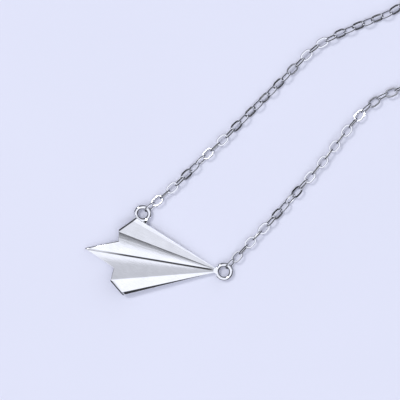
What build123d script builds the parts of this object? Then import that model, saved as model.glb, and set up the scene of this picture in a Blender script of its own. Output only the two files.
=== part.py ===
"""Folded-plane pendant on a fine cable chain, with a spring-ring clasp.

Millimetres. +X runs along the keel towards the nose, +Y towards the wing with the eye,
+Z up. The origin is on the flat underside of the keel, halfway along the plane.
"""

from math import atan2, cos, degrees, radians, sin
import os

from build123d import *

os.makedirs("parts", exist_ok=True)

# ---- driving dimensions -----------------------------------------------------------
# The folded plane. Every fold runs to one apex just beyond the nose, so a fold line
# is a slope: its offset from the keel over its distance from the apex.
NOSE_X = 10.0
TAIL_X = -10.0
NOSE_HALF_WIDTH = 0.40
APEX_X = 10.9
FOLD_X, FOLD_Y = -5.3, 3.76
CORNER_X, CORNER_Y = -5.4, 4.0
WING_X, WING_Y = -3.15, 6.08
NOTCH_X, NOTCH_Y = -5.2, 2.07
SHEET = 0.7
KEEL_LAND_DEPTH = 0.1

# Height over distance from the apex, at each fold: the two ridges, the line where each
# wing starts to turn down, and its outer edge. The turn starts at a share of the edge.
RIDGE_RISE = 0.123
TURN_RISE, TURN_SHARE = 0.084, 0.905
EDGE_RISE = 0.056
END_MARGIN, EDGE_OVER, TALL = 0.3, 1.05, 5.0

# The two rings of the pendant, round wire rings lying level.
RING_Z = 0.62
EYE_X, EYE_Y = -2.25, 6.76
EYE_RADIUS, EYE_WIRE = 1.02, 0.28
NOSE_RING_X = 11.4
NOSE_RING_RADIUS, NOSE_RING_WIRE = 1.08, 0.28
SOLDER_HEIGHT = 0.5
EYE_WEB = [(-3.25, 5.8), (-2.9, 5.6), (-1.7, 5.3), (-1.4, 5.4), (-1.25, 6.15), (-3.22, 6.4)]
NOSE_WEB_LENGTH, NOSE_WEB_SINK = 0.4, 0.05

# Cable chain: one oval link, and the pitch that leaves 0.03 between two wires.
LINK_WIRE = 0.125
LINK_PITCH = 1.5
LINK_WIDTH = 1.4
LINK_GAP = 0.03
END_RADIUS = LINK_WIDTH / 2 - LINK_WIRE
LINK_REACH = (LINK_PITCH + 2 * LINK_WIRE + LINK_GAP) / 2
ROLL_AT_RING = 52.0

# Where each branch leaves its ring, lies on the table, and joins its coil.
WING_ROUTE = [
    (-1.60, 7.55), (1.4, 11.2), (4.1, 14.9), (7.4, 19.3), (10.6, 23.9), (14.7, 29.7),
    (17.9, 34.5), (19.6, 36.6), (21.6, 38.1), (24.7, 40.2), (28.9, 42.7), (30.6, 44.1),
    (31.7, 45.9), (32.1, 48.0), (31.84, 50.33),
]
NOSE_ROUTE = [
    (11.96, 0.92), (14.4, 4.9), (17.0, 8.7), (20.1, 13.7), (22.9, 18.3), (25.1, 22.7),
    (27.3, 26.6), (28.4, 28.3), (30.1, 30.2), (32.3, 31.6), (36.19, 34.13), (39.69, 36.55),
]
WING_TWIST, NOSE_TWIST = 12.8, -9.2
TWISTED_LINKS = 12
SWAY, SWAY_RATE = 14.0, 0.45

# The put-away length of each branch: a flat clockwise spiral.
COIL_OUTER, COIL_TURNS, COIL_PITCH = 10.3, 2.5, 1.55
COIL_HEIGHT = 1.36
COIL_MARGIN = 0.75
WING_COIL = (41.99, 52.04)
NOSE_COIL = (45.53, 28.10)

# Spring-ring clasp and end ring, each inside the hole of its coil.
CLASP_Z = 0.72
CLASP_RADIUS = 2.1
TUBE_OUTER, TUBE_INNER = 0.65, 0.46
BOLT_WIRE = 0.38
SPRING_OUTER, SPRING_INNER = 0.40, 0.22
KNOB_STEM, KNOB_HEAD, KNOB_REACH = 0.2, 0.3, 1.0
SLOT_HALF_WIDTH = 0.26
CLASP_EYE_RADIUS, CLASP_EYE_WIRE, CLASP_EYE_AT = 0.75, 0.22, 3.55
JUMP_RADIUS, JUMP_WIRE, JUMP_ROLL = 0.72, 0.15, 52.0
END_RING_RADIUS, END_RING_WIRE = 1.6, 0.3
HOOK_GAP = 0.02
HOOK_PLAY = 0.17

# Angles around the clasp, in degrees, with its eye at 180.
TUBE_FROM, TUBE_TO = 70.0, 380.0
STOP_FROM, STOP_TO = 174.0, 186.0
BOLT_FROM, BOLT_TO = -62.0, 80.0
SPRING_FROM, SPRING_TO = -173.5, -62.5
KNOB_AT, KNOB_TRAVEL, SLOT_MARGIN = -14.0, 58.0, 8.0

# From the last turn of a spiral to the jump ring, in the coil's own frame, whose X
# runs from its centre to the spiral's inner end; and which way the clasp then turns.
LEAD = [(6.43, 0.0), (6.3, -1.3), (5.3, -2.6), (3.9, -2.7)]
CLASP_TURN = -35.0


def slope(x, y):
    """The fold line through (x, y), as offset over distance from the apex."""
    return y / (APEX_X - x)


def ring(centre, radius, wire):
    """A closed round-wire ring, lying level, as a private part."""
    with BuildPart(mode=Mode.PRIVATE) as made:
        with BuildSketch(Plane(centre, x_dir=(1, 0, 0), z_dir=(0, -1, 0))):
            with Locations((radius, 0)):
                Circle(wire)
        revolve(axis=Axis(centre, (0, 0, 1)), revolution_arc=360)
    return made.part


def placed(shape, centre, heading, roll):
    """A private copy of a shape made about the origin with its length along X."""
    ahead = Vector(cos(radians(heading)), sin(radians(heading)), 0)
    across = Vector(-ahead.Y, ahead.X, 0)
    up = Vector(0, 0, 1)
    normal = up * cos(radians(roll)) - across * sin(radians(roll))
    return shape.moved(Location(Plane(centre, x_dir=ahead, z_dir=normal)))


# ---- the plane --------------------------------------------------------------------
ridge = slope(FOLD_X, FOLD_Y)
edge = slope(WING_X, WING_Y)
turn = TURN_SHARE * edge
beyond = EDGE_OVER * edge
beyond_rise = EDGE_RISE + (beyond - edge) * (EDGE_RISE - TURN_RISE) / (edge - turn)
folds = [(-beyond, beyond_rise), (-turn, TURN_RISE), (-ridge, RIDGE_RISE), (0, 0)]
folds += [(ridge, RIDGE_RISE), (turn, TURN_RISE), (beyond, beyond_rise)]

with BuildPart() as plane_body:
    for station in (TAIL_X - END_MARGIN, NOSE_X + END_MARGIN):
        reach = APEX_X - station
        below = [(offset * reach, rise * reach - KEEL_LAND_DEPTH) for offset, rise in folds]
        above = [(y, z + SHEET + KEEL_LAND_DEPTH) for y, z in reversed(below)]
        with BuildSketch(Plane((station, 0, 0), x_dir=(0, 1, 0), z_dir=(1, 0, 0))):
            with BuildLine():
                Polyline(*below, *above, close=True)
            make_face()
    loft(ruled=True)
    with BuildSketch():
        with BuildLine():
            Polyline(
                (NOSE_X, NOSE_HALF_WIDTH), (WING_X, WING_Y), (CORNER_X, CORNER_Y),
                (NOTCH_X, NOTCH_Y), (TAIL_X, 0), (NOTCH_X, -NOTCH_Y), (CORNER_X, -CORNER_Y),
                (WING_X, -WING_Y), (NOSE_X, -NOSE_HALF_WIDTH), close=True,
            )
        make_face()
    extrude(amount=TALL, mode=Mode.INTERSECT)
plane_body.part.label = "plane_body"
export_step(plane_body.part, "parts/plane_body.step")

# The wing eye's ring grows out of the wing's corner on a broad web.
eye_centre = Vector(EYE_X, EYE_Y, RING_Z)
with BuildPart() as wing_eye:
    add(ring(eye_centre, EYE_RADIUS, EYE_WIRE))
    with BuildSketch(Plane.XY.offset(RING_Z - SOLDER_HEIGHT / 2)):
        with BuildLine():
            Polyline(*EYE_WEB, close=True)
        make_face()
        with Locations((EYE_X, EYE_Y)):
            Circle(EYE_RADIUS - EYE_WIRE, mode=Mode.SUBTRACT)
    extrude(amount=SOLDER_HEIGHT)
    add(plane_body.part, mode=Mode.SUBTRACT)
wing_eye.part.label = "wing_eye"
export_step(wing_eye.part, "parts/wing_eye.step")

# The nose ring is soldered to the blunt nose with a small fillet of solder.
nose_ring_centre = Vector(NOSE_RING_X, 0, RING_Z)
with BuildPart() as nose_ring:
    add(ring(nose_ring_centre, NOSE_RING_RADIUS, NOSE_RING_WIRE))
    with BuildSketch(Plane.XY.offset(RING_Z - SOLDER_HEIGHT / 2)):
        with Locations((NOSE_X - NOSE_WEB_SINK + NOSE_WEB_LENGTH / 2, 0)):
            Rectangle(NOSE_WEB_LENGTH, 2 * NOSE_HALF_WIDTH)
    extrude(amount=SOLDER_HEIGHT)
    add(plane_body.part, mode=Mode.SUBTRACT)
nose_ring.part.label = "nose_ring"
export_step(nose_ring.part, "parts/nose_ring.step")

# ---- the chain --------------------------------------------------------------------
# One oval link about the origin: two half-round ends joined by two short sides.
side = LINK_REACH - END_RADIUS
with BuildPart() as link:
    with BuildLine():
        Polyline((-side, -END_RADIUS), (side, -END_RADIUS))
        RadiusArc((side, -END_RADIUS), (side, END_RADIUS), -END_RADIUS)
        Polyline((side, END_RADIUS), (-side, END_RADIUS))
        RadiusArc((-side, END_RADIUS), (-side, -END_RADIUS), -END_RADIUS)
    with BuildSketch(Plane((0, -END_RADIUS, 0), x_dir=(0, 1, 0), z_dir=(1, 0, 0))):
        Circle(LINK_WIRE)
    sweep()


def link_places(route, wire, twist):
    """Centre, heading and roll of each link of one branch.

    The first link hooks the ring whose wire stands at the route's first point; each
    next one follows a pitch further and a quarter turn on, plus the chain's own twist.
    A link lies as high as its roll and its neighbour's make the pair stand.
    """
    with BuildLine(mode=Mode.PRIVATE) as line:
        Spline(*[(x, y, 0) for x, y in route])
    path = line.edges()[0]
    first = LINK_REACH - LINK_WIRE - wire - HOOK_GAP
    count = int((path.length - first) / LINK_PITCH) + 1
    places = []
    for number in range(count):
        along = first + number * LINK_PITCH
        at = path.position_at(along, position_mode=PositionMode.LENGTH)
        ahead = path.tangent_at(along, position_mode=PositionMode.LENGTH)
        turned = twist * min(number, TWISTED_LINKS)
        turned += SWAY * sin(SWAY_RATE * max(0, number - TWISTED_LINKS))
        roll = ROLL_AT_RING + 90 * number + turned
        steep = max(abs(sin(radians(roll))), abs(cos(radians(roll))))
        height = max(RING_Z, LINK_WIRE + END_RADIUS * steep + HOOK_GAP)
        places.append((Vector(at.X, at.Y, height), degrees(atan2(ahead.Y, ahead.X)), roll))
    bends = [abs(after[1] - before[1]) for before, after in zip(places, places[1:])]
    tightest = LINK_PITCH / radians(max(bends))
    print("branch", round(path.length, 1), "mm,", count, "links, tightest bend", round(tightest, 1))
    return places


with BuildPart() as wing_chain_links:
    for centre, heading, roll in link_places(WING_ROUTE, EYE_WIRE, WING_TWIST):
        add(placed(link.part, centre, heading, roll))
wing_chain_links.part.label = "wing_chain_links"
export_step(wing_chain_links.part, "parts/wing_chain_links.step")

with BuildPart() as nose_chain_links:
    for centre, heading, roll in link_places(NOSE_ROUTE, NOSE_RING_WIRE, NOSE_TWIST):
        add(placed(link.part, centre, heading, roll))
nose_chain_links.part.label = "nose_chain_links"
export_step(nose_chain_links.part, "parts/nose_chain_links.step")

# The put-away turns of each branch, as the plain outer shape of the flat spiral.
coil_inner = COIL_OUTER - COIL_PITCH * COIL_TURNS
for name, centre in (("wing_chain_coil", WING_COIL), ("nose_chain_coil", NOSE_COIL)):
    with BuildPart(Plane((centre[0], centre[1], 0))) as coil:
        Cylinder(COIL_OUTER + COIL_MARGIN, COIL_HEIGHT, align=(Align.CENTER, Align.CENTER, Align.MIN))
        Cylinder(
            coil_inner - COIL_MARGIN, COIL_HEIGHT, mode=Mode.SUBTRACT,
            align=(Align.CENTER, Align.CENTER, Align.MIN),
        )
    coil.part.label = name
    export_step(coil.part, "parts/" + name + ".step")


# ---- the ends of the two branches ---------------------------------------------------
def arc_rod(centre, radius, wire, start, stop):
    """A private round rod bent round a level circle from one angle to another."""
    out = Vector(cos(radians(start)), sin(radians(start)), 0)
    with BuildPart(mode=Mode.PRIVATE) as made:
        with BuildSketch(Plane(centre + out * radius, x_dir=out, z_dir=(-out.Y, out.X, 0))):
            Circle(wire)
        revolve(axis=Axis(centre, (0, 0, 1)), revolution_arc=stop - start)
    return made.part


def branch_end(route, centre):
    """Where the last link, the jump ring and the next piece hook inside a coil.

    Gives the last link's centre, the jump ring's centre, the point where the jump
    ring holds the next piece less that piece's wire, and the heading in degrees.
    """
    start = atan2(route[-1][1] - centre[1], route[-1][0] - centre[0])
    turn = start - radians(360 * COIL_TURNS)
    middle = Vector(*centre, CLASP_Z)
    flat = [
        middle + Vector(x * cos(turn) - y * sin(turn), x * sin(turn) + y * cos(turn), 0)
        for x, y in LEAD
    ]
    ahead = (flat[-1] - flat[-2]).normalized()
    hook = flat[-1]
    link_centre = hook - ahead * (LINK_REACH - LINK_WIRE - JUMP_WIRE - HOOK_GAP)
    jump_centre = hook + ahead * JUMP_RADIUS
    held = jump_centre + ahead * (JUMP_RADIUS - JUMP_WIRE - HOOK_PLAY)
    return link_centre, jump_centre, held, degrees(atan2(ahead.Y, ahead.X))


def jump_ring(centre, heading):
    """A private small ring standing across the way the chain pulls."""
    flat = ring(Vector(0, 0, 0), JUMP_RADIUS, JUMP_WIRE)
    return placed(flat, centre, heading, JUMP_ROLL)


hooks = {}
for name, piece, route, coil_centre in (
    ("wing", "clasp", WING_ROUTE, WING_COIL), ("nose", "end", NOSE_ROUTE, NOSE_COIL),
):
    link_centre, jump_centre, held, heading = branch_end(route, coil_centre)
    with BuildPart() as last_link:
        add(placed(link.part, link_centre, heading, JUMP_ROLL - 90))
    last_link.part.label = name + "_last_link"
    export_step(last_link.part, "parts/" + name + "_last_link.step")
    with BuildPart() as joining_ring:
        add(jump_ring(jump_centre, heading))
    joining_ring.part.label = piece + "_jump_ring"
    export_step(joining_ring.part, "parts/" + piece + "_jump_ring.step")
    hooks[piece] = held, heading

held, heading = hooks["end"]
ahead = Vector(cos(radians(heading)), sin(radians(heading)), 0)
end_ring_hook = held - ahead * END_RING_WIRE
with BuildPart() as end_ring:
    add(ring(end_ring_hook + ahead * END_RING_RADIUS, END_RING_RADIUS, END_RING_WIRE))
end_ring.part.label = "end_ring"
export_step(end_ring.part, "parts/end_ring.step")
print("end ring hooks at", end_ring_hook, "heading", round(heading, 2))

# ---- the spring-ring clasp ----------------------------------------------------------
held, heading = hooks["clasp"]
ahead = Vector(cos(radians(heading)), sin(radians(heading)), 0)
clasp_hook = held - ahead * CLASP_EYE_WIRE
clasp_eye_centre = clasp_hook + ahead * CLASP_EYE_RADIUS
facing = heading + CLASP_TURN
away = Vector(cos(radians(facing)), sin(radians(facing)), 0)
clasp_centre = clasp_eye_centre + away * CLASP_EYE_AT
print("clasp hooks at", clasp_hook, "heading", round(heading, 2), "centre", clasp_centre)

with BuildPart() as clasp_tube:
    add(arc_rod(clasp_centre, CLASP_RADIUS, TUBE_OUTER, facing + TUBE_FROM, facing + TUBE_TO))
    add(
        arc_rod(clasp_centre, CLASP_RADIUS, TUBE_INNER, facing + TUBE_FROM, facing + STOP_FROM),
        mode=Mode.SUBTRACT,
    )
    add(
        arc_rod(clasp_centre, CLASP_RADIUS, TUBE_INNER, facing + STOP_TO, facing + TUBE_TO),
        mode=Mode.SUBTRACT,
    )
    slot_start = radians(facing + KNOB_AT - KNOB_TRAVEL - SLOT_MARGIN)
    slot_out = Vector(cos(slot_start), sin(slot_start), 0)
    with BuildSketch(Plane(clasp_centre, x_dir=slot_out, z_dir=(-slot_out.Y, slot_out.X, 0))):
        with Locations((CLASP_RADIUS + TUBE_OUTER, 0)):
            Rectangle(2 * TUBE_OUTER, 2 * SLOT_HALF_WIDTH)
    revolve(
        axis=Axis(clasp_centre, (0, 0, 1)), revolution_arc=KNOB_TRAVEL + 2 * SLOT_MARGIN,
        mode=Mode.SUBTRACT,
    )
clasp_tube.part.label = "clasp_tube"
export_step(clasp_tube.part, "parts/clasp_tube.step")

with BuildPart() as clasp_eye:
    add(ring(clasp_eye_centre, CLASP_EYE_RADIUS, CLASP_EYE_WIRE))
    add(clasp_tube.part, mode=Mode.SUBTRACT)
clasp_eye.part.label = "clasp_eye"
export_step(clasp_eye.part, "parts/clasp_eye.step")

with BuildPart() as clasp_bolt:
    add(arc_rod(clasp_centre, CLASP_RADIUS, BOLT_WIRE, facing + BOLT_FROM, facing + BOLT_TO))
clasp_bolt.part.label = "clasp_bolt"
export_step(clasp_bolt.part, "parts/clasp_bolt.step")

knob_out = Vector(cos(radians(facing + KNOB_AT)), sin(radians(facing + KNOB_AT)), 0)
knob_root = clasp_centre + knob_out * CLASP_RADIUS
head_from = KNOB_REACH - (KNOB_HEAD**2 - KNOB_STEM**2) ** 0.5
with BuildPart() as clasp_knob:
    with BuildSketch(Plane(knob_root, x_dir=knob_out, z_dir=(0, 0, 1))):
        with BuildLine():
            Polyline((KNOB_REACH + KNOB_HEAD, 0), (0, 0), (0, KNOB_STEM), (head_from, KNOB_STEM))
            ThreePointArc(
                (head_from, KNOB_STEM), (KNOB_REACH, KNOB_HEAD), (KNOB_REACH + KNOB_HEAD, 0)
            )
        make_face()
    revolve(axis=Axis(knob_root, knob_out), revolution_arc=360)
clasp_knob.part.label = "clasp_knob"
export_step(clasp_knob.part, "parts/clasp_knob.step")

with BuildPart() as clasp_spring:
    add(arc_rod(clasp_centre, CLASP_RADIUS, SPRING_OUTER, facing + SPRING_FROM, facing + SPRING_TO))
    add(
        arc_rod(clasp_centre, CLASP_RADIUS, SPRING_INNER, facing + SPRING_FROM, facing + SPRING_TO),
        mode=Mode.SUBTRACT,
    )
clasp_spring.part.label = "clasp_spring"
export_step(clasp_spring.part, "parts/clasp_spring.step")
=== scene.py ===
"""Looks of a folded-plane pendant on a fine cable chain, laid on a pale table.

Metres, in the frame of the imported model: +X runs along the keel to the nose, +Y to the
wing that carries the eye, +Z up. The clasp, the end ring and the jump rings are the
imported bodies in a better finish. The folded plane, its two rings and the two branches
of chain are made here, as surfaces worked out from a few sizes.
"""

import logging
import math
from dataclasses import dataclass
from enum import Enum

import bpy
import numpy as np
from mathutils import Matrix, Vector

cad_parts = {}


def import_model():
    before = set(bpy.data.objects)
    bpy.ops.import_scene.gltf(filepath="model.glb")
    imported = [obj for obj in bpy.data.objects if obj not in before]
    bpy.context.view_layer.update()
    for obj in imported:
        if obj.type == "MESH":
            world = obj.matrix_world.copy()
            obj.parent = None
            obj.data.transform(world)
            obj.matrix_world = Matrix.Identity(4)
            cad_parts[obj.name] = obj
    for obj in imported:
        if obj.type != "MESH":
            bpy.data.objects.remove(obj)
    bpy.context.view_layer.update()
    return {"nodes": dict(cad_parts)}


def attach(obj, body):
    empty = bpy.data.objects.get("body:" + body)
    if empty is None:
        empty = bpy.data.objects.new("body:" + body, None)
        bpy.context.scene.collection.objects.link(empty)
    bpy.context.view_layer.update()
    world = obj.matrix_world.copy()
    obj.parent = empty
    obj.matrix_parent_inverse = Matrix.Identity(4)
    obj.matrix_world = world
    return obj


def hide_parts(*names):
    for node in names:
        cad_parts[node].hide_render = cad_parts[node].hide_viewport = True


MM = 0.001
# The vertex attribute that carries painted shade: dark creases, edges and dark reflections painted on.
PAINTED_SHADE = "painted_shade"
LOG = logging.getLogger("pendant")
Socket = bpy.types.NodeSocket
Value = bpy.types.NodeSocket | float | tuple


def unit(v: np.ndarray) -> np.ndarray:
    """Vectors of length one, along the last axis."""
    return v / np.linalg.norm(v, axis=-1, keepdims=True)


def grid_faces(rows: int, columns: int, close_rows: bool, close_columns: bool) -> np.ndarray:
    """Quads over a grid of points stored row by row.

    Args:
        rows: number of rows of points.
        columns: number of points in each row.
        close_rows: join the last row to the first.
        close_columns: join the last point of each row to its first.

    Returns:
        An array of corner indices, four to a face.
    """
    r = np.arange(rows if close_rows else rows - 1)
    c = np.arange(columns if close_columns else columns - 1)
    r, c = (a.ravel() for a in np.meshgrid(r, c, indexing="ij"))
    r2, c2 = (r + 1) % rows, (c + 1) % columns
    return np.stack([r * columns + c, r * columns + c2, r2 * columns + c2, r2 * columns + c], 1)


def make_object(name: str, points: np.ndarray, faces: np.ndarray, smooth: bool = True) -> bpy.types.Object:
    """A mesh object at the origin from points in millimetres.

    Args:
        name: the piece's name.
        points: one row of x, y, z for each vertex, in millimetres.
        faces: corner indices, one face to a row.
        smooth: shade its faces smoothly.

    Returns:
        The linked object.
    """
    mesh = bpy.data.meshes.new(name)
    mesh.from_pydata((points * MM).tolist(), [], faces.tolist())
    mesh.polygons.foreach_set("use_smooth", [smooth] * len(mesh.polygons))
    mesh.validate()
    mesh.update()
    made = bpy.data.objects.new(name, mesh)
    bpy.context.scene.collection.objects.link(made)
    return made


class Bench:
    """The nodes of one material or world, with the few kinds that are made here.

    A value is a socket, a number or a tuple, whichever the node's input takes.
    """

    def __init__(self, tree: bpy.types.NodeTree) -> None:
        """Keeps the tree's nodes and links."""
        self.nodes = tree.nodes
        self.links = tree.links

    def feed(self, socket: Socket, value: Value) -> None:
        """Links a socket to the input, or writes a plain value into it."""
        if isinstance(value, bpy.types.NodeSocket):
            self.links.new(value, socket)
        else:
            socket.default_value = value

    def math(self, operation: str, *values: Value) -> Socket:
        """The result of an arithmetic node over its values in order."""
        made = self.nodes.new("ShaderNodeMath")
        made.operation = operation
        for socket, value in zip(made.inputs, values):
            self.feed(socket, value)
        return made.outputs[0]

    def dot(self, way: Socket, direction: tuple) -> Socket:
        """The dot product of a way with a fixed direction."""
        made = self.nodes.new("ShaderNodeVectorMath")
        made.operation = "DOT_PRODUCT"
        made.inputs[1].default_value = direction
        self.links.new(way, made.inputs[0])
        return made.outputs["Value"]

    def ranged(
        self, value: Socket, source: tuple, target: tuple = (0.0, 1.0), smooth: bool = False
    ) -> Socket:
        """A value taken from one range to another and held inside it.

        Args:
            value: the socket to take.
            source: its low and high ends.
            target: what they become.
            smooth: ease into both ends instead of running straight.

        Returns:
            The socket of the new value.
        """
        made = self.nodes.new("ShaderNodeMapRange")
        made.interpolation_type = "SMOOTHSTEP" if smooth else "LINEAR"
        for key, number in zip(("From Min", "From Max", "To Min", "To Max"), (*source, *target)):
            made.inputs[key].default_value = number
        self.links.new(value, made.inputs["Value"])
        return made.outputs["Result"]

    def noise(self, where: Socket, scale: float, detail: float = 2.0, roughness: float = 0.5) -> Socket:
        """A noise texture's value.

        Args:
            where: the socket that gives the place.
            scale: how many grains there are to a metre.
            detail: how many finer layers are added.
            roughness: how strong the finer layers are.

        Returns:
            The socket of the noise value.
        """
        made = self.nodes.new("ShaderNodeTexNoise")
        made.inputs["Scale"].default_value = scale
        made.inputs["Detail"].default_value = detail
        made.inputs["Roughness"].default_value = roughness
        self.links.new(where, made.inputs["Vector"])
        return made.outputs["Fac"]

    def mix(self, share: Socket, first: Value, second: Value) -> Socket:
        """The blend of two colours, the second by its share."""
        made = self.nodes.new("ShaderNodeMix")
        made.data_type = "RGBA"
        self.feed(made.inputs[0], share)
        self.feed(made.inputs[6], first)
        self.feed(made.inputs[7], second)
        return made.outputs[2]

    def ramp(self, value: Socket, stops: tuple) -> Socket:
        """Grey over a value, straight between stops of place and brightness."""
        made = self.nodes.new("ShaderNodeValToRGB")
        line = made.color_ramp.elements
        for number, (place, bright) in enumerate(stops):
            stop = line[number] if number < 2 else line.new(place)
            stop.position = place
            stop.color = (bright, bright, bright, 1)
        self.links.new(value, made.inputs["Fac"])
        return made.outputs["Color"]


class Tone(Enum):
    """The silver tones on the necklace, as linear colours."""

    PLATE = (0.930, 0.932, 0.945)
    WIRE = (0.900, 0.905, 0.925)
    CAST = (0.880, 0.885, 0.900)
    STEEL = (0.560, 0.570, 0.590)


ROUGH_SWING = (0.6, 1.4)
STREAK_SWING = (0.75, 1.25)


@dataclass(frozen=True)
class SilverFinish:
    """A polished metal with wipe marks and a fine grain, all in object coordinates.

    The grain is noise drawn out by stretch along the direction turn. Where a piece
    carries the painted-shade attribute, painted shade darkens and dulls the metal with its value.
    """

    name: str
    tone: Tone
    roughness: float
    spread: float
    marks: float
    grain_mm: float
    stretch: float
    turn: float = 0.0
    # Brightness share of the near-black painted shade, and how much the painted shade raises the roughness.
    paint_shade: float = 0.07
    painted_shade_dulls: float = 0.4
    streak_shade: float = 0.9
    haze_grains: float = 12.0
    mark_depth_mm: float = 0.015

    def material(self) -> bpy.types.Material:
        """The node material of this finish.

        Returns:
            A material whose grain drives its roughness, tone and bump.
        """
        made = bpy.data.materials.new(self.name)
        made.use_nodes = True
        bench = Bench(made.node_tree)
        shader = bench.nodes["Principled BSDF"]
        shader.inputs["Metallic"].default_value = 1.0
        # Painted shade: the attribute darkens the colour towards a near-black tone and dulls the metal.
        painted_shade = bench.nodes.new("ShaderNodeAttribute")
        painted_shade.attribute_name = PAINTED_SHADE
        grain, haze = self.grain(bench)
        both = bench.math("ADD", grain, haze)
        rough = bench.ranged(both, ROUGH_SWING, (self.roughness - self.spread, self.roughness + self.spread))
        dull = bench.math("MULTIPLY_ADD", painted_shade.outputs["Fac"], self.painted_shade_dulls, rough)
        bench.feed(shader.inputs["Roughness"], dull)
        metal = bench.mix(bench.ranged(both, STREAK_SWING), self.shade(self.streak_shade), self.shade(1.0))
        colour = bench.mix(painted_shade.outputs["Fac"], metal, self.shade(self.paint_shade))
        bench.feed(shader.inputs["Base Color"], colour)
        bump = bench.nodes.new("ShaderNodeBump")
        bump.inputs["Strength"].default_value = self.marks
        bump.inputs["Distance"].default_value = self.mark_depth_mm * MM
        bench.feed(bump.inputs["Height"], grain)
        bench.feed(shader.inputs["Normal"], bump.outputs["Normal"])
        return made

    def shade(self, part: float) -> tuple:
        """The tone at some part of its brightness, opaque."""
        return (*(c * part for c in self.tone.value), 1)

    def grain(self, bench: Bench) -> tuple[Socket, Socket]:
        """The fine drawn-out grain and a coarse even haze, each as a noise value."""
        where = bench.nodes.new("ShaderNodeTexCoord").outputs["Object"]
        turned = bench.nodes.new("ShaderNodeMapping")
        turned.vector_type = "TEXTURE"
        turned.inputs["Rotation"].default_value = (0, 0, self.turn)
        turned.inputs["Scale"].default_value = (self.stretch, 1, 1)
        bench.feed(turned.inputs["Vector"], where)
        fine = bench.noise(turned.outputs["Vector"], 1 / (self.grain_mm * MM), 4.0, 0.6)
        return fine, bench.noise(where, 1 / (self.haze_grains * self.grain_mm * MM), 3.0, 0.6)


PLATE = SilverFinish("polished_plate", Tone.PLATE, 0.11, 0.03, 0.5, 0.16, 14.0, math.radians(-17))
RING = SilverFinish("ring_wire", Tone.WIRE, 0.10, 0.04, 0.15, 0.12, 2.0)
LINK = SilverFinish("link_wire", Tone.WIRE, 0.09, 0.04, 0.1, 0.1, 1.0)
CLASP = SilverFinish("clasp_shell", Tone.CAST, 0.12, 0.05, 0.2, 0.12, 3.0)
SPRING = SilverFinish("spring_wire", Tone.STEEL, 0.28, 0.08, 0.3, 0.05, 4.0)
SHARP = math.radians(35)


def write_painted_shade(piece: bpy.types.Object, values: np.ndarray) -> None:
    """Gives a piece its painted shade, one value for each vertex."""
    layer = piece.data.attributes.new(PAINTED_SHADE, "FLOAT", "POINT")
    layer.data.foreach_set("value", values)


def dress(piece: bpy.types.Object, finish: bpy.types.Material) -> None:
    """Gives a piece its one material."""
    piece.data.materials.clear()
    piece.data.materials.append(finish)


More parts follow.
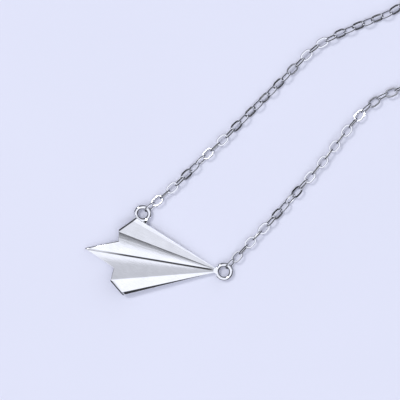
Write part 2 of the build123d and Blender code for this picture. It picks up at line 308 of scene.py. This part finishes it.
@dataclass
class FoldedPlane:
    """The plane: a folded sheet whose folds all run to one apex beyond the nose.

    A point is given by its slope t, the offset from the keel over the distance s from
    the apex, so a fold is a value of t, and the sheet's height is s times a profile
    of t. All sizes are in millimetres.
    """

    apex_x: float = 10.9
    nose_x: float = 10.0
    rear: tuple = ((-10.0, 0.0), (-5.2, 2.07), (-5.4, 4.0), (-3.15, 6.08))
    ridge: float = 0.2321
    bevels: tuple = (0.05, 0.20, 0.02, 0.11, 0.02, 0.02, 0.24, 0.05, 0.05)
    sheet: float = 0.7
    land: float = 0.1
    ridge_rise: float = 0.123
    turn_rise: float = 0.0855
    turn_share: float = 0.892
    edge_rise: float = 0.0545
    sag: float = 0.010
    brow: float = 0.0008
    brow_reach: float = 0.006
    keel_round: float = 0.008
    crisp: float = 0.0015
    soft: float = 0.007
    groove: float = 0.16
    bevel_slope: float = 0.8
    groove_slope: float = 0.4
    rim: float = 0.25
    steps: int = 40
    fold_reach: float = 0.012
    fold_columns: int = 17
    edge_reach: float = 0.018
    edge_columns: int = 7
    rim_rows: int = 8
    # The slope offset under the ridge and the width of the painted dark line there.
    ridge_shade_line: float = 0.0045
    ridge_shade_width: float = 0.004

    def slopes(self) -> np.ndarray:
        """The slope of each rear corner, from the keel outwards."""
        return np.array([y / (self.apex_x - x) for x, y in self.rear])

    def rear_reach(self, t: np.ndarray) -> np.ndarray:
        """Distance from the apex to the rear outline along each slope.

        A ray of slope t meets the straight edge through two corners where the cross
        product of the edge with the way to the point is nothing.
        """
        corners = np.array([(self.apex_x - x, y) for x, y in self.rear])
        t = np.abs(t)
        reach = np.zeros_like(t)
        for (s0, y0), (s1, y1) in zip(corners[:-1], corners[1:]):
            ds, dy = s1 - s0, y1 - y0
            inside = (t >= y0 / s0 - 1e-9) & (t <= y1 / s1 + 1e-9)
            reach = np.where(inside, (s0 * dy - y0 * ds) / (dy - t * ds), reach)
        return reach

    def rise(self, slope: np.ndarray) -> np.ndarray:
        """The height profile over slope: a valley at the keel, a ridge, a drooping wing.

        Straight lines run between the folds. A sine arc hollows the inner panels, a
        short exponential brow steepens them just under the ridge, and each fold is
        eased by a hyperbola: crisp at one ridge, soft at the other and at the keel.
        """
        ridge, edge = self.ridge, self.slopes()[-1]
        t = np.abs(slope)
        turn = self.turn_share * edge
        inner = t / ridge * self.ridge_rise - self.sag * np.sin(np.pi * np.clip(t / ridge, 0, 1))
        inner = inner - self.brow * (1 - np.exp(-np.maximum(ridge - t, 0) / self.brow_reach))
        wing = self.ridge_rise + (t - ridge) / (turn - ridge) * (self.turn_rise - self.ridge_rise)
        lip = self.turn_rise + (t - turn) / (edge - turn) * (self.edge_rise - self.turn_rise)
        ease = np.where(slope > 0, self.crisp, self.soft)
        first = 0.5 * (inner + wing - np.sqrt((inner - wing) ** 2 + ease**2))
        whole = 0.5 * (first + lip - np.sqrt((first - lip) ** 2 + self.crisp**2))
        keel = np.sqrt(np.maximum(whole, 0) ** 2 + self.keel_round**2) - self.keel_round
        return np.where(t < 0.7 * ridge, keel, whole - self.keel_round)

    def bevel_drop(self, x: np.ndarray, y: np.ndarray, least: float = 0.0) -> np.ndarray:
        """How far the polished bevel lowers the top, from the distance to each edge.

        Args:
            x: distances along the keel.
            y: offsets from the keel.
            least: the width below which a bevel is passed over.

        Returns:
            The drop at each point.
        """
        half = [(self.nose_x, self.slopes()[-1] * (self.apex_x - self.nose_x)), *self.rear[::-1]]
        loop = np.array(half + [(a, -b) for a, b in half[-2::-1]])
        here = np.stack([x, y], -1)
        drop = np.zeros(x.shape)
        for a, b, width in zip(loop, np.roll(loop, -1, 0), self.bevels):
            along = np.clip(((here - a) @ (b - a)) / ((b - a) @ (b - a)), 0, 1)
            gap = np.linalg.norm(here - a - along[..., None] * (b - a), axis=-1)
            if width >= least:
                drop = np.maximum(drop, self.bevel_slope * np.maximum(0, width - gap))
        return drop

    def columns(self) -> np.ndarray:
        """The slopes of the grid's columns, crowded at the folds and at the edges."""
        slopes = self.slopes()
        edge = slopes[-1]
        even = [np.linspace(a, b, self.steps // 2) for a, b in zip(slopes[:-1], slopes[1:])]
        close = np.linspace(-self.fold_reach, self.fold_reach, self.fold_columns)
        near = [fold + close for fold in (0, self.ridge, self.turn_share * edge)]
        rim = edge - self.edge_reach * (1 - np.cos(np.linspace(0, np.pi / 2, self.edge_columns)))
        t = np.unique(np.round(np.abs(np.concatenate([*even, *near, rim, [edge]])), 6))
        t = t[t <= edge + 1e-9]
        return np.concatenate([-t[:0:-1], t])

    def mesh(self) -> bpy.types.Object:
        """The closed shell: a top and a bottom over the same grid, joined round the rim.

        The grid's rows crowd together towards the nose and the rear outline to carry
        the bevel there. A shallow groove follows the keel.
        """
        t = self.columns()
        near_end = self.apex_x - self.nose_x
        reach = self.rear_reach(t)
        rim = self.rim * (1 - np.cos(np.linspace(0, np.pi / 2, self.rim_rows)))
        start, stop = near_end + rim[-1], reach - rim[-1]
        rows = [near_end + step + 0 * reach for step in rim]
        rows += [start + u * (stop - start) for u in np.linspace(0, 1, self.steps + 2)[1:-1]]
        rows += [reach - step for step in rim[::-1]]
        s = np.array(rows)
        tt = np.broadcast_to(t, s.shape)
        x, y = self.apex_x - s, tt * s
        drop = self.bevel_drop(x, y)
        base = s * self.rise(tt)
        cut = self.groove_slope * np.maximum(0, self.groove - np.abs(y))
        top = np.stack([x, y, base + self.sheet - drop - cut], -1)
        under = np.stack([x, y, np.maximum(base - self.land, 0) + 0.5 * drop], -1)
        r, c = s.shape
        faces_top = grid_faces(r, c, False, False)
        faces_under = faces_top[:, ::-1] + r * c
        index = np.arange(r * c).reshape(r, c)
        rim_loop = np.concatenate([index[0, :-1], index[:-1, -1], index[-1, :0:-1], index[:0:-1, 0]])
        after = np.roll(rim_loop, -1)
        walls = np.stack([rim_loop, rim_loop + r * c, after + r * c, after], 1)
        points = np.concatenate([top.reshape(-1, 3), under.reshape(-1, 3)])
        faces = faces_out(points, np.concatenate([faces_top, faces_under, walls]))
        piece = make_object("plane_body_skin", points, faces)
        # Painted shade in the keel crease, under the ridge and along the rear bevels.
        self.paint_shade(piece, tt, x, y)
        piece.data.set_sharp_from_angle(angle=SHARP)
        return piece

    def paint_shade(self, piece: bpy.types.Object, t: np.ndarray, x: np.ndarray, y: np.ndarray) -> None:
        """Writes painted shade: in the keel's groove, painted dark reflections under the ridge and on the
        wide bevels.

        The groove's painted shade fades towards the tail and the nose.

        Args:
            piece: the plane.
            t: the slope of each point of the top.
            x: its distance along the keel.
            y: its offset from the keel.
        """
        fade = np.clip((x - self.rear[0][0] - 1.0) / 5, 0.3, 1) * np.clip((self.nose_x - x) / 0.8, 0.2, 1)
        # Painted shade in the crease of the keel's groove.
        keel = fade * np.clip((self.groove - np.abs(y)) / (0.4 * self.groove), 0, 1)
        # Painted dark reflection in a thin line just under the ridge.
        brow = np.clip(1 - np.abs(self.ridge - self.ridge_shade_line - t) / self.ridge_shade_width, 0, 1)
        # Painted dark reflection along the wide rear bevels.
        edge = np.clip(self.bevel_drop(x, y, least=0.1) / 0.05, 0, 1)
        value = np.zeros(len(piece.data.vertices))
        value[: t.size] = np.maximum(np.maximum(keel, 0.7 * brow), edge).ravel()
        write_painted_shade(piece, value)


def faces_out(points: np.ndarray, quads: np.ndarray) -> np.ndarray:
    """The faces of a closed shape, turned outwards by the sign of its volume."""
    a, b, c, d = (points[quads[:, k]] for k in range(4))
    volume = np.einsum("ij,ij->i", a, np.cross(b, c)) + np.einsum("ij,ij->i", a, np.cross(c, d))
    return quads if volume.sum() > 0 else quads[:, ::-1]


def baked(piece: bpy.types.Object) -> bpy.types.Object:
    """Applies a piece's modifiers and leaves a plain mesh."""
    bpy.context.view_layer.update()
    seen = piece.evaluated_get(bpy.context.evaluated_depsgraph_get())
    mesh = bpy.data.meshes.new_from_object(seen)
    piece.modifiers.clear()
    piece.data = mesh
    return piece


@dataclass
class WireRing:
    """A level ring of round wire that grows out of the plane on a web.

    The web fills the space between a straight base inside the plane and the part of
    the ring between two angles. All sizes are in millimetres.
    """

    name: str
    centre: tuple
    radius: float
    wire: float
    base: tuple
    angles: tuple
    base_z: float
    base_half: float
    ring_half: float = 0.24
    # Where the painted dark rim starts across the wire, how fast it eases in and how strong it is.
    rim_from: float = 0.55
    rim_ease: float = 0.25
    rim_painted_shade: float = 1.0
    web_margin: float = 8.0
    around: int = 72
    section: int = 24
    web_lines: int = 20
    web_steps: int = 9
    voxel: float = 0.035

    def ring(self) -> tuple[np.ndarray, np.ndarray]:
        """Points and faces of the torus: a circle of wire carried round a circle."""
        u = np.linspace(0, 2 * np.pi, self.around, endpoint=False)[:, None]
        v = np.linspace(0, 2 * np.pi, self.section, endpoint=False)[None, :]
        out = self.radius + self.wire * np.cos(v)
        points = np.stack([out * np.cos(u), out * np.sin(u), self.wire * np.sin(v) + 0 * u], -1)
        points = points.reshape(-1, 3) + np.array(self.centre)
        return points, grid_faces(self.around, self.section, True, True)

    def web(self) -> tuple[np.ndarray, np.ndarray]:
        """Points and faces of the web: straight lines from the base to the ring's wire.

        Each line's thickness eases from the base's to the ring's by a smooth step, and
        the first and last lines are closed by a copy of no thickness.
        """
        share = np.linspace(0, 1, self.web_lines)
        angle = np.radians(self.angles[0] + share * (self.angles[1] - self.angles[0]))
        first, last = np.array(self.base[0]), np.array(self.base[1])
        foot = first + share[:, None] * (last - first)
        head = np.array(self.centre[:2]) + self.radius * np.stack([np.cos(angle), np.sin(angle)], 1)
        way = np.linspace(0, 1, self.web_steps)
        flat = foot[:, None, :] + way[None, :, None] * (head - foot)[:, None, :]
        ease = way * way * (3 - 2 * way)
        middle = self.base_z + ease * (self.centre[2] - self.base_z)
        half = self.base_half + ease * (self.ring_half - self.base_half)
        closed = np.ones((len(share) + 2, 1))
        closed[[0, -1]] = 0.0
        flat = np.concatenate([flat[:1], flat, flat[-1:]])
        top = np.concatenate([flat, (middle + closed * half)[..., None]], -1)
        under = np.concatenate([flat, (middle - closed * half)[..., None]], -1)
        loops = np.concatenate([top, under[:, ::-1]], 1)
        return loops.reshape(-1, 3), grid_faces(loops.shape[0], loops.shape[1], False, True)

    def mesh(self) -> bpy.types.Object:
        """Ring and web grown into one skin by a voxel remesh, then smoothed."""
        ring_points, ring_faces = self.ring()
        web_points, web_faces = self.web()
        points = np.concatenate([ring_points, web_points])
        web_faces = faces_out(web_points, web_faces) + len(ring_points)
        faces = np.concatenate([faces_out(ring_points, ring_faces), web_faces])
        piece = make_object(self.name, points, faces)
        grown = piece.modifiers.new("grown", "REMESH")
        grown.mode = "VOXEL"
        grown.voxel_size = self.voxel * MM
        grown.use_smooth_shade = True
        eased = piece.modifiers.new("eased", "SMOOTH")
        eased.factor = 0.6
        eased.iterations = 6
        piece = baked(piece)
        self.paint_shade(piece)
        return piece

    def paint_shade(self, piece: bpy.types.Object) -> None:
        """Writes painted shade: a painted dark reflection along the ring's two rims, away from the web.

        Args:
            piece: the finished ring and web.
        """
        spots = np.empty(3 * len(piece.data.vertices))
        piece.data.vertices.foreach_get("co", spots)
        offset = spots.reshape(-1, 3)[:, :2] / MM - np.array(self.centre[:2])
        reach = np.hypot(offset[:, 0], offset[:, 1])
        turn = np.degrees(np.arctan2(offset[:, 1], offset[:, 0])) % 360
        first, last = self.angles[0] - self.web_margin, self.angles[1] + self.web_margin
        on_web = (turn > first) & (turn < last) & (reach > self.radius)
        # Painted dark reflection towards both rims of the wire.
        rim = np.clip((np.abs(reach - self.radius) / self.wire - self.rim_from) / self.rim_ease, 0, 1)
        write_painted_shade(piece, np.where(on_web, 0.0, self.rim_painted_shade * rim))


@dataclass(frozen=True)
class Route:
    """A line on the table: close points, and the distance run to each."""

    points: np.ndarray
    run: np.ndarray

    def at(self, distance: np.ndarray) -> np.ndarray:
        """The places at some distances along the line, one x, y to a row."""
        return np.stack([np.interp(distance, self.run, self.points[:, k]) for k in (0, 1)], 1)


@dataclass(frozen=True)
class Links:
    """Where each link of a branch stands along its route, and how it is turned."""

    distance: np.ndarray
    centre: np.ndarray
    ahead: np.ndarray
    across: np.ndarray
    up: np.ndarray


@dataclass(frozen=True)
class LaidChain:
    """A finished branch, with the centreline and its length, in metres."""

    piece: bpy.types.Object
    path: list
    length: float


@dataclass
class ChainBranch:
    """One branch of cable chain: oval wire links, each a quarter turn from the last.

    The route lies on the table from the ring to the coil, then winds two and a half
    flat turns and ends inside them at the jump ring. All sizes are in millimetres.
    """

    name: str
    route: tuple
    coil: tuple
    ring_wire: float
    replaced: tuple
    twist: float
    wire: float = 0.125
    pitch: float = 1.5
    width: float = 1.4
    play: float = 0.03
    gap: float = 0.02
    roll_at_ring: float = 52.0
    ring_z: float = 0.62
    coil_outer: float = 10.3
    coil_turns: float = 2.5
    coil_pitch: float = 1.55
    lead: tuple = ((6.3, -1.3), (5.3, -2.6), (3.9, -2.7))
    per_turn: int = 16
    along: int = 16
    flat: float = 0.66
    # Strength of the painted dark reflection on the sides of each link's wire.
    side_painted_shade: float = 1.7
    hook_back: float = 0.595
    twisted: int = 12
    sway: float = 14.0
    sway_rate: float = 0.45
    settled: float = 0.6
    probe: float = 0.05
    path_step: float = 0.5

    @property
    def reach(self) -> float:
        """Half a link's length along the centre of its wire."""
        return (self.pitch + 2 * self.wire + self.play) / 2

    @property
    def bend(self) -> float:
        """The radius of a link's round ends, at the centre of its wire."""
        return self.width / 2 - self.wire

    def control_points(self) -> np.ndarray:
        """The listed route, then the turns of the coil, then the lead to its middle.

        A turn is a circle whose radius shrinks by one coil pitch each time round.
        """
        centre = np.array(self.coil)
        first = np.array(self.route[-1]) - centre
        start = math.atan2(first[1], first[0])
        count = int(self.per_turn * self.coil_turns)
        turned = np.linspace(0, 2 * np.pi * self.coil_turns, count + 1)
        radius = self.coil_outer - self.coil_pitch * turned / (2 * np.pi)
        angle = start - turned
        turns = centre + radius[:, None] * np.stack([np.cos(angle), np.sin(angle)], 1)
        end = angle[-1]
        spin = np.array([[math.cos(end), math.sin(end)], [-math.sin(end), math.cos(end)]])
        lead = np.array(self.lead) @ spin + centre
        return np.concatenate([np.array(self.route[:-1]), turns, lead])

    def line(self) -> Route:
        """The smooth spline through the control points, read back as close points."""
        flat = self.control_points()
        curve = bpy.data.curves.new(self.name + "_route", "CURVE")
        curve.dimensions = "3D"
        curve.resolution_u = 24
        spline = curve.splines.new("NURBS")
        spline.points.add(len(flat) - 1)
        for point, (x, y) in zip(spline.points, flat):
            point.co = (x * MM, y * MM, 0, 1)
        spline.order_u = 3
        spline.use_endpoint_u = True
        holder = bpy.data.objects.new(self.name + "_route", curve)
        bpy.context.scene.collection.objects.link(holder)
        bpy.context.view_layer.update()
        seen = holder.evaluated_get(bpy.context.evaluated_depsgraph_get())
        mesh = bpy.data.meshes.new_from_object(seen)
        co = np.zeros(len(mesh.vertices) * 3)
        mesh.vertices.foreach_get("co", co)
        bpy.data.objects.remove(holder)
        points = co.reshape(-1, 3)[:, :2] / MM
        step = np.linalg.norm(np.diff(points, axis=0), axis=1)
        return Route(points, np.concatenate([[0], np.cumsum(step)]))

    def rolls(self, count: int) -> np.ndarray:
        """The roll of each link about the line, in radians.

        A link's roll is a quarter turn more than the one before, plus the twist of the
        chain and a slow sway. What the last link would miss its ring by is spread over
        the later links.
        """
        number = np.arange(count)
        turned = self.twist * np.minimum(number, self.twisted)
        turned = turned + self.sway * np.sin(self.sway_rate * np.maximum(0, number - self.twisted))
        roll = self.roll_at_ring + 90 * number + turned
        miss = (self.roll_at_ring - 90 - roll[-1] + 90) % 180 - 90
        settle = int(self.settled * count)
        return np.radians(roll + miss * np.clip((number - settle) / (count - 1 - settle), 0, 1))

    def places(self, route: Route) -> Links:
        """The links one pitch apart, eased a little so that the last meets its ring."""
        first = self.reach - self.wire - self.ring_wire - self.gap
        last = route.run[-1] - self.hook_back
        count = int(round((last - first) / self.pitch)) + 1
        at = np.linspace(first, last, count)
        flat = route.at(at)
        onward = route.at(at + self.probe) - route.at(at - self.probe)
        level = np.zeros((count, 1))
        ahead = unit(np.concatenate([onward, level], 1))
        side = np.stack([-ahead[:, 1], ahead[:, 0], 0 * at], 1)
        roll = self.rolls(count)
        steep = np.maximum(np.abs(np.sin(roll)), np.abs(np.cos(roll)))
        z = np.maximum(self.ring_z, self.wire + self.bend * steep + self.gap)
        up = np.cos(roll)[:, None] * np.array([0, 0, 1.0]) - np.sin(roll)[:, None] * side
        return Links(at, np.concatenate([flat, z[:, None]], 1), ahead, np.cross(up, ahead), up)

    def link(self) -> np.ndarray:
        """One oval link about the origin, as rows of wire sections.

        The wire's centre runs round a slot shape, two half circles a straight apart,
        and its section is a hexagon with a broad flat face above and below.
        """
        straight = self.reach - self.bend
        per_end = self.along // 2
        half = np.linspace(-np.pi / 2, np.pi / 2, per_end)
        right = np.stack([straight + self.bend * np.cos(half), self.bend * np.sin(half)], 1)
        centre = np.concatenate([right, -right])
        away = np.concatenate([np.stack([np.cos(half), np.sin(half)], 1)] * 2)
        away[per_end:] *= -1
        out = self.wire * np.array([1.0, self.flat, -self.flat, -1.0, -self.flat, self.flat])
        high = self.wire * np.array([0.0, 0.9, 0.9, 0.0, -0.9, -0.9])
        rows = centre[:, None, :] + out[None, :, None] * away[:, None, :]
        z = np.broadcast_to(high, rows.shape[:2])
        return np.concatenate([rows, z[..., None]], -1)

    def build(self, finish: bpy.types.Material) -> LaidChain:
        """All the links as one piece, with the centreline that they follow."""
        route = self.line()
        links = self.places(route)
        shape = self.link()
        rows, section = shape.shape[:2]
        one = shape.reshape(-1, 3)
        basis = np.stack([links.ahead, links.across, links.up], 1)
        points = links.centre[:, None, :] + np.einsum("pk,nkc->npc", one, basis)
        count = len(points)
        faces = faces_out(one, grid_faces(rows, section, True, True))
        shift = (np.arange(count) * len(one))[:, None, None]
        every = (faces[None] + shift).reshape(-1, 4)
        piece = make_object(self.name, points.reshape(-1, 3), every, smooth=False)
        # Painted dark reflection on the two side corners of each wire section.
        write_painted_shade(piece, np.tile([self.side_painted_shade, 0.0, 0.0], count * len(one) // 3))
        dress(piece, finish)
        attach(piece, "chain")
        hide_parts(*self.replaced)
        length = route.run[-1]
        dense = np.linspace(0, length, int(length / self.path_step))
        height = np.interp(dense, links.distance, links.centre[:, 2])
        path = np.concatenate([route.at(dense), height[:, None]], 1) * MM
        LOG.info("%s: %d links, %.1f mm", self.name, count, length)
        return LaidChain(piece, path.tolist(), float(length * MM))


@dataclass
class Table:
    """The pale table top, far larger than anything on it."""

    half_side: float = 4.0
    colour: tuple = (0.707, 0.717, 0.816)
    roughness: float = 0.5
    cloud_scale: float = 25.0
    cloud_lift: float = 1.04

    def build(self) -> bpy.types.Object:
        """A flat sheet just under the lowest point, with a faint cloudiness."""
        corners = np.array([[-1, -1, 0], [1, -1, 0], [1, 1, 0], [-1, 1, 0]])
        points = corners * self.half_side / MM
        floor = make_object("table_top", points, np.array([[0, 1, 2, 3]]), smooth=False)
        made = bpy.data.materials.new("table_lacquer")
        made.use_nodes = True
        bench = Bench(made.node_tree)
        shader = bench.nodes["Principled BSDF"]
        shader.inputs["Roughness"].default_value = self.roughness
        cloud = bench.noise(bench.nodes.new("ShaderNodeTexCoord").outputs["Object"], self.cloud_scale)
        pale = (*(min(1.0, c * self.cloud_lift) for c in self.colour), 1)
        bench.feed(shader.inputs["Base Color"], bench.mix(cloud, (*self.colour, 1), pale))
        dress(floor, made)
        return floor


@dataclass
class Studio:
    """Camera, key light and the surroundings that the metal mirrors.

    The view's upward direction is turned from the model's +Y by heading. The ceiling is
    a strip of brightness over the angle in degrees from straight up towards +Y. Each
    patch is a direction, the cosines where it starts and is full, and how much light it
    takes away.
    """

    heading: float = math.radians(9.57)
    aim: tuple = (5.97, 10.26, 0.6)
    tilt: float = math.radians(-9.0)
    distance: float = 0.42
    field: float = 60.6
    sensor: float = 36.0
    ceiling: tuple = (
        (-90, 1.1), (-30, 1.15), (24, 1.1), (31, 1.0), (38, 0.68), (60, 0.62), (72, 0.85), (90, 1.0),
    )
    horizon: tuple = ((0.36, 0.03), (0.40, 0.12), (0.43, 0.33), (0.515, 0.62), (0.60, 0.9), (0.68, 1.0))
    dark_way: tuple = (-0.906, -0.423, 0.0)
    patches: tuple = (
        ((0.857, -0.454, 0.252), 0.80, 0.86, 0.95),
        ((0.36, 0.294, 0.885), 0.93, 0.975, 0.22),
        ((0.506, 0.763, 0.403), 0.90, 0.95, -0.6),
    )
    horizon_way: tuple = (0.0, -0.2, 1.0)
    sector: tuple = (-0.25, -0.10)
    tint: tuple = (0.95, 0.975, 1.08)
    sun_way: tuple = (0.55, -0.6, -1.0)
    sun_energy: float = 1.0
    sun_angle: float = math.radians(12)

    def axes(self) -> tuple[np.ndarray, np.ndarray]:
        """The view's rightward and upward directions on the table."""
        c, s = math.cos(self.heading), math.sin(self.heading)
        return np.array([c, s, 0]), np.array([-s, c, 0])

    def camera(self) -> bpy.types.Object:
        """A long lens nearly straight above, leaning a little."""
        right, up = self.axes()
        aim = np.array(self.aim) * MM
        back = math.cos(self.tilt) * np.array([0, 0, 1.0]) - math.sin(self.tilt) * up
        data = bpy.data.cameras.new("camera")
        data.sensor_width = self.sensor
        data.lens = self.sensor * self.distance / (self.field * MM)
        data.clip_start = 0.01
        made = bpy.data.objects.new("camera", data)
        bpy.context.scene.collection.objects.link(made)
        top = np.cross(back, right)
        turn = np.stack([right, top, back], 1)
        made.matrix_world = Matrix.Translation(aim + back * self.distance) @ Matrix(turn.tolist()).to_4x4()
        bpy.context.scene.camera = made
        return made

    def key(self) -> bpy.types.Object:
        """A soft sun from the view's upper left."""
        right, up = self.axes()
        way = unit(np.array(self.sun_way) @ np.stack([right, up, [0, 0, 1.0]]))
        data = bpy.data.lights.new("key", "SUN")
        data.energy = self.sun_energy
        data.angle = self.sun_angle
        made = bpy.data.objects.new("key", data)
        made.rotation_euler = Vector(way).to_track_quat("-Z", "Y").to_euler()
        bpy.context.scene.collection.objects.link(made)
        return made

    def surroundings(self) -> None:
        """The world's brightness over the direction looked in.

        A ramp over the lean, the angle from straight up towards +Y, gives the bright
        ceiling. It is darkened near the horizon on the rear and right-hand sides, and
        dimmed or lit by soft round patches.
        """
        world = bpy.data.worlds.new("studio")
        bpy.context.scene.world = world
        world.use_nodes = True
        bench = Bench(world.node_tree)
        way = bench.nodes.new("ShaderNodeTexCoord").outputs["Generated"]
        split = bench.nodes.new("ShaderNodeSeparateXYZ")
        bench.feed(split.inputs[0], way)
        lean = bench.math("ARCTAN2", split.outputs["Y"], split.outputs["Z"])
        share = bench.math("ADD", bench.math("DIVIDE", lean, math.pi), 0.5)
        ceiling = bench.ramp(share, tuple(((a + 90) / 180, b) for a, b in self.ceiling))
        whole = bench.math("MULTIPLY", ceiling, self.kept(bench, way))
        tint = bench.nodes.new("ShaderNodeCombineColor")
        for socket, value in zip(tint.inputs, self.tint):
            bench.feed(socket, bench.math("MULTIPLY", whole, value))
        background = bench.nodes["Background"]
        bench.feed(background.inputs["Color"], tint.outputs[0])
        background.inputs["Strength"].default_value = 1.0

    def kept(self, bench: Bench, way: Socket) -> Socket:
        """The share of the ceiling's light left by the dark sector and the patches.

        Args:
            bench: the world's nodes.
            way: the direction looked in.

        Returns:
            The socket of that share.
        """
        near = bench.ramp(bench.dot(way, self.horizon_way), self.horizon)
        sector = bench.ranged(bench.dot(way, self.dark_way), self.sector, smooth=True)
        lost = bench.math("MULTIPLY", sector, bench.math("SUBTRACT", 1.0, near))
        kept = bench.math("SUBTRACT", 1.0, lost)
        for direction, low, high, amount in self.patches:
            patch = bench.ranged(bench.dot(way, direction), (low, high), smooth=True)
            taken = bench.math("MULTIPLY", patch, amount)
            kept = bench.math("MULTIPLY", kept, bench.math("SUBTRACT", 1.0, taken))
        return kept


WING_ROUTE = (
    (-1.60, 7.55), (1.4, 11.2), (4.1, 14.9), (7.4, 19.3), (10.6, 23.9), (14.7, 29.7),
    (17.9, 34.5), (19.6, 36.6), (21.6, 38.1), (24.7, 40.2), (28.9, 42.7), (30.6, 44.1),
    (31.7, 45.9), (32.1, 48.0), (31.84, 50.33),
)
NOSE_ROUTE = (
    (11.96, 0.92), (14.4, 4.9), (17.0, 8.7), (20.1, 13.7), (22.9, 18.3), (25.1, 22.7),
    (27.3, 26.6), (28.4, 28.3), (30.1, 30.2), (32.3, 31.6), (36.19, 34.13), (39.69, 36.55),
)


CHAINS = (
    ChainBranch(
        "wing_chain", WING_ROUTE, (41.99, 52.04), 0.28,
        ("wing_chain_links", "wing_chain_coil", "wing_last_link"), 12.8,
    ),
    ChainBranch(
        "nose_chain", NOSE_ROUTE, (45.53, 28.10), 0.28,
        ("nose_chain_links", "nose_chain_coil", "nose_last_link"), 9.2,
    ),
)
WING_EYE = WireRing(
    "wing_eye_skin", centre=(-2.25, 6.76, 0.62), radius=1.02, wire=0.28,
    base=((-3.25, 5.6), (-1.5, 5.0)), angles=(186, 338), base_z=1.0, base_half=0.3,
)
NOSE_RING = WireRing(
    "nose_ring_skin", centre=(11.4, 0.0, 0.62), radius=1.08, wire=0.28,
    base=((9.75, 0.36), (9.75, -0.4)), angles=(150, 212), base_z=0.5, base_half=0.3,
)
CLASP_NODES = (
    "clasp_tube", "clasp_eye", "clasp_bolt", "clasp_knob", "end_ring", "clasp_jump_ring",
    "end_jump_ring",
)


def lay_chains() -> None:
    """Builds both branches.
    """
    wire = LINK.material()
    for branch in CHAINS:
        laid = branch.build(wire)


def make_pendant() -> None:
    """The folded plane and its two rings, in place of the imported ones."""
    ring_finish = RING.material()
    for piece, finish, node, slot in (
        (FoldedPlane().mesh(), PLATE.material(), "plane_body", "polished_silver"),
        (WING_EYE.mesh(), ring_finish, "wing_eye", "polished_silver"),
        (NOSE_RING.mesh(), ring_finish, "nose_ring", "ring_silver"),
    ):
        dress(piece, finish)
        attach(piece, "pendant")
        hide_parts(node)
        LOG.info("%s: %d faces", piece.name, len(piece.data.polygons))


def dress_clasp(nodes: dict) -> None:
    """Finishes the clasp, the rings at the branches' ends and the clasp's spring.

    Args:
        nodes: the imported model's objects by name.
    """
    shell = CLASP.material()
    for name in CLASP_NODES:
        dress(nodes[name], shell)
    dress(nodes["clasp_spring"], SPRING.material())


def main() -> None:
    """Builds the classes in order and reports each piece."""
    logging.basicConfig(level=logging.INFO, format="%(message)s")
    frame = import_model()
    bpy.context.scene.view_settings.view_transform = "Standard"

    studio = Studio()
    studio.camera()
    studio.key()
    studio.surroundings()
    Table().build()
    lay_chains()
    make_pendant()
    dress_clasp(frame["nodes"])


if __name__ == "__main__":
    main()
